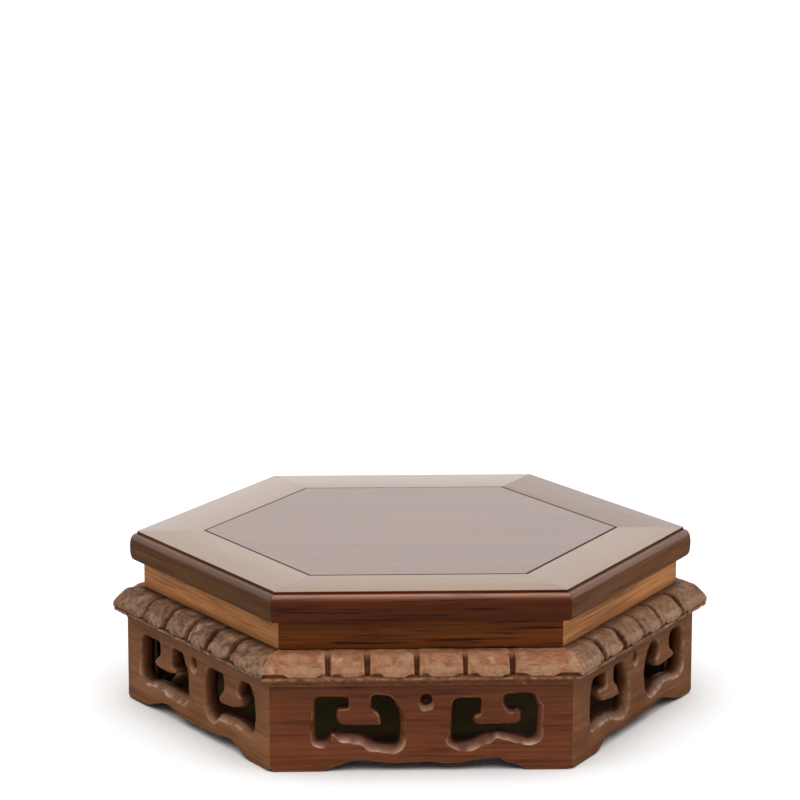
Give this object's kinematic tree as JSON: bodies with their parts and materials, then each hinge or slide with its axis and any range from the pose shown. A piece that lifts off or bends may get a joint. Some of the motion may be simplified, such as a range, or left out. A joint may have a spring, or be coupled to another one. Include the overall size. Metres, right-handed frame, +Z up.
{
  "type": "carved wooden vase stand",
  "caption": "Six sided carved wooden stand with a framed top, a narrow waist, a roof tile moulding and pierced aprons, to raise a vase or bowl.",
  "frame": {"origin": "centre of the footprint, on the surface that the feet stand on", "axes": "+Z up, +X through two opposite corners, the front side faces -Y"},
  "size_m": [0.2452, 0.2124, 0.0708],
  "materials": {
    "rail_wood": "satin lacquer on reddish brown hardwood",
    "panel_wood": "satin lacquer on reddish brown hardwood",
    "waist_wood": "satin lacquer on orange brown hardwood",
    "moulding_wood": "hand carved, thinly oiled",
    "apron_wood": "satin oil on reddish brown hardwood",
    "inner_wood": "bare planed wood"
  },
  "bodies": {
    "root": {"top_rail_front": "rail_wood", "top_rail_front_right": "rail_wood", "top_rail_back_right": "rail_wood", "top_rail_back": "rail_wood", "top_rail_back_left": "rail_wood", "top_rail_front_left": "rail_wood", "top_panel": "panel_wood", "panel_batten_left": "inner_wood", "panel_batten_right": "inner_wood", "mitre_tenon_front_right": "inner_wood", "mitre_tenon_right": "inner_wood", "mitre_tenon_back_right": "inner_wood", "mitre_tenon_back_left": "inner_wood", "mitre_tenon_left": "inner_wood", "mitre_tenon_front_left": "inner_wood", "waist_board_front": "waist_wood", "waist_board_front_right": "waist_wood", "waist_board_back_right": "waist_wood", "waist_board_back": "waist_wood", "waist_board_back_left": "waist_wood", "waist_board_front_left": "waist_wood", "waist_block_front": "inner_wood", "waist_block_front_right": "inner_wood", "waist_block_back_right": "inner_wood", "waist_block_back": "inner_wood", "waist_block_back_left": "inner_wood", "waist_block_front_left": "inner_wood", "tile_moulding_front": "moulding_wood", "tile_moulding_front_right": "moulding_wood", "tile_moulding_back_right": "moulding_wood", "tile_moulding_back": "moulding_wood", "tile_moulding_back_left": "moulding_wood", "tile_moulding_front_left": "moulding_wood", "apron_front": "apron_wood", "apron_front_right": "apron_wood", "apron_back_right": "apron_wood", "apron_back": "apron_wood", "apron_back_left": "apron_wood", "apron_front_left": "apron_wood", "corner_block_front_right": "inner_wood", "corner_block_right": "inner_wood", "corner_block_back_right": "inner_wood", "corner_block_back_left": "inner_wood", "corner_block_left": "inner_wood", "corner_block_front_left": "inner_wood"}
  },
  "joints": []
}
